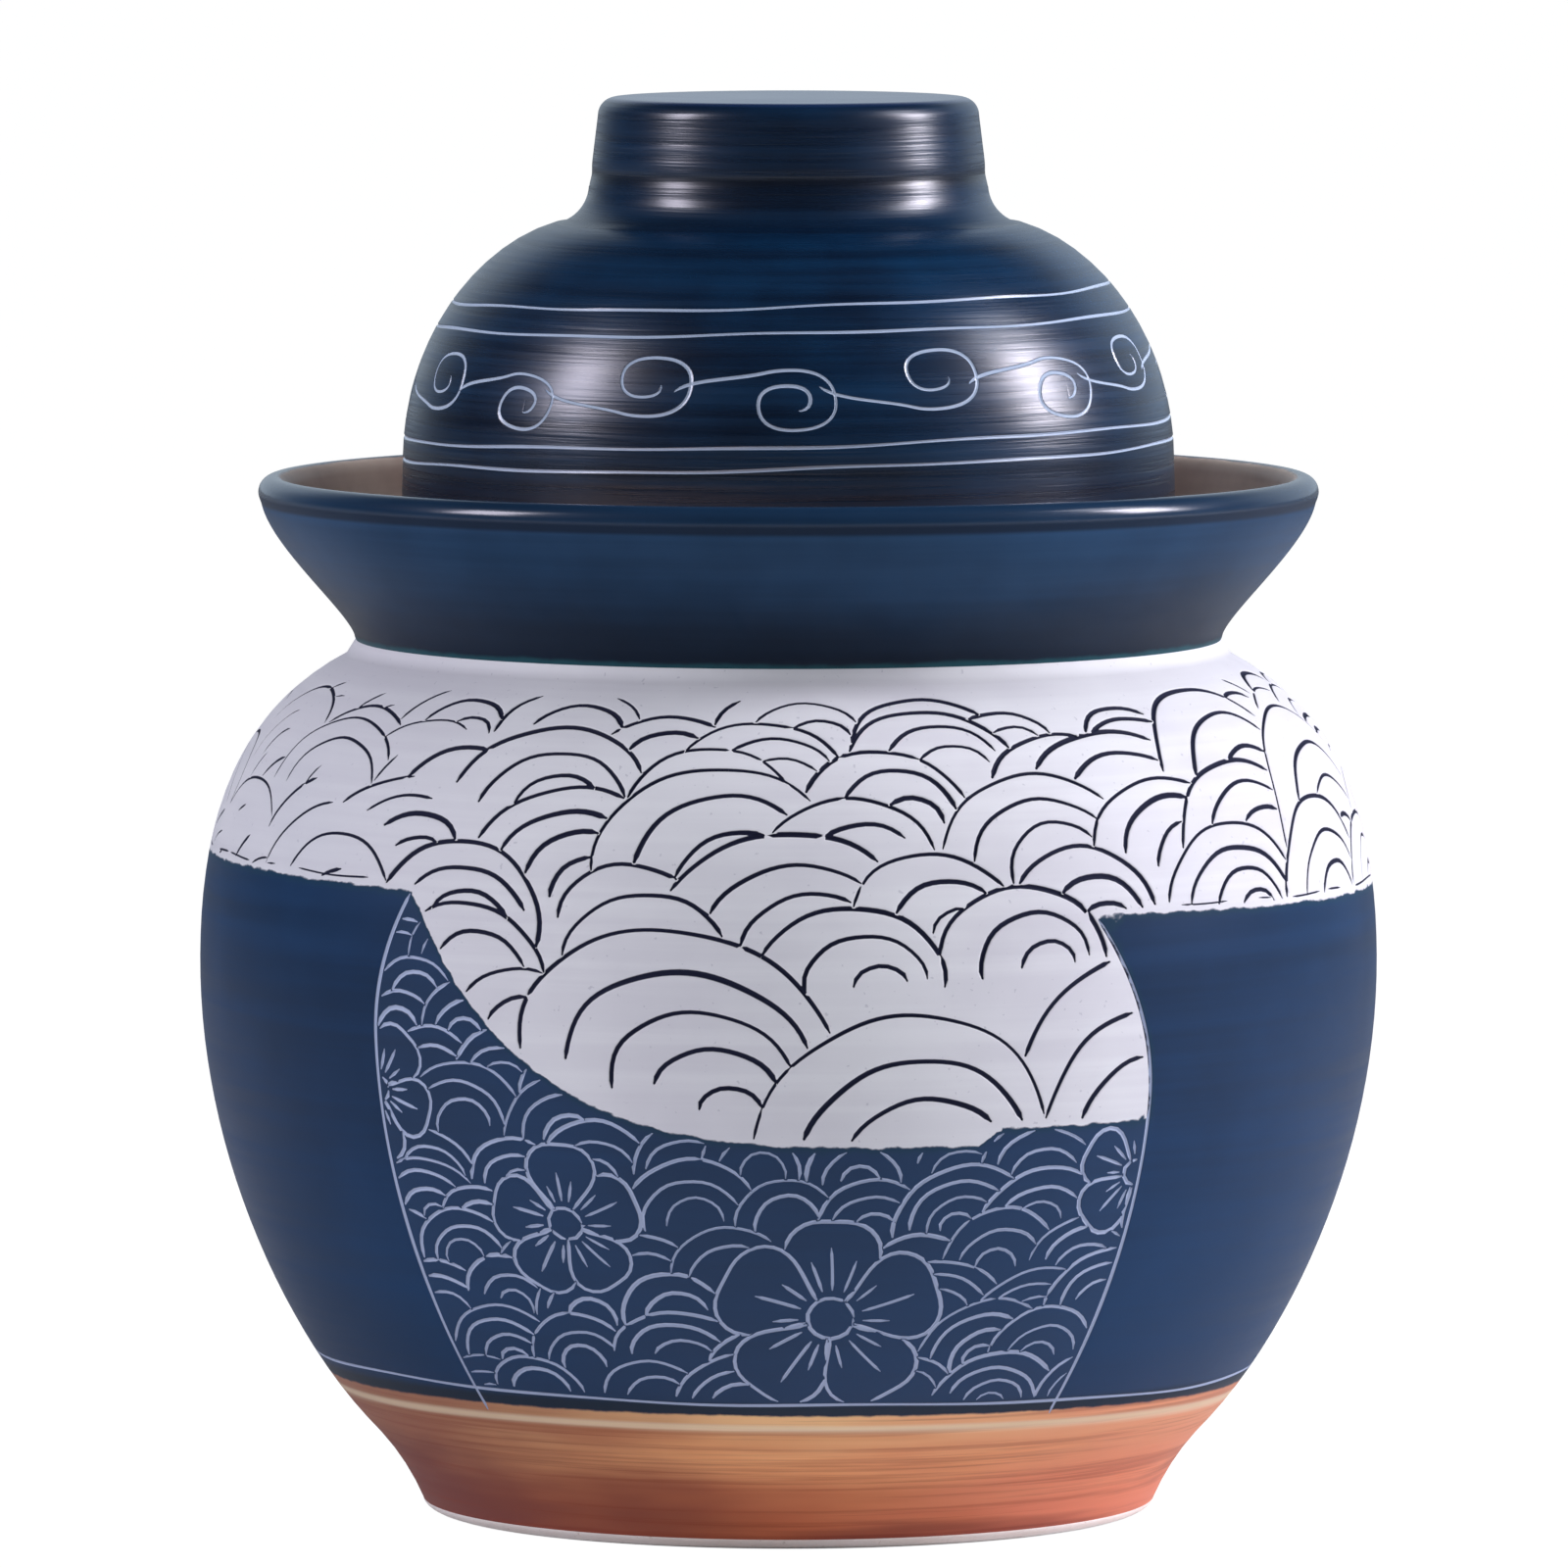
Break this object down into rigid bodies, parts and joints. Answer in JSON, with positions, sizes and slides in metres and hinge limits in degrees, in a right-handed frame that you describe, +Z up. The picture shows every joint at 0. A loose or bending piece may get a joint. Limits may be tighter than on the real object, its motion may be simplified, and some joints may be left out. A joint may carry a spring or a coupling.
{
  "type": "water seal pickle jar",
  "caption": "Glazed stoneware pickle jar with a round body, a water trough round its mouth, a domed lid that stands in the trough and a small inner lid.",
  "frame": {"origin": "centre of the foot, on the ground that the jar stands on", "axes": "+Z up along the jar's own axis; the decorated front panel faces -Y, +X is to the right seen from the front"},
  "size_m": [0.2366, 0.2366, 0.284],
  "materials": {
    "body_glaze": "satin glaze over slip, incised",
    "bare_clay": "bare fired clay",
    "brown_glaze": "satin brown glaze",
    "trough_glaze": "satin glaze",
    "lid_glaze": "gloss glaze, incised",
    "inner_lid_glaze": "satin brown glaze"
  },
  "bodies": {
    "jar": {"jar_body": "body_glaze", "foot_ring": "bare_clay", "mouth_wall_ring": "brown_glaze", "water_trough": "trough_glaze"},
    "outer_lid": {"lid_dome": "lid_glaze", "lid_knob": "lid_glaze"},
    "inner_cover": {"inner_lid": "inner_lid_glaze", "inner_lid_button": "inner_lid_glaze"}
  },
  "joints": [
    {"name": "lid_lift", "type": "slide", "parent": "jar", "child": "outer_lid", "axis": [0, 0, 1], "range_m": [0, 0.16]},
    {"name": "inner_lid_lift", "type": "slide", "parent": "jar", "child": "inner_cover", "axis": [0, 0, 1], "range_m": [0, 0.064]}
  ],
  "couplings": [
    {"joint": "inner_lid_lift", "follows": "lid_lift", "ratio": 0.4}
  ]
}
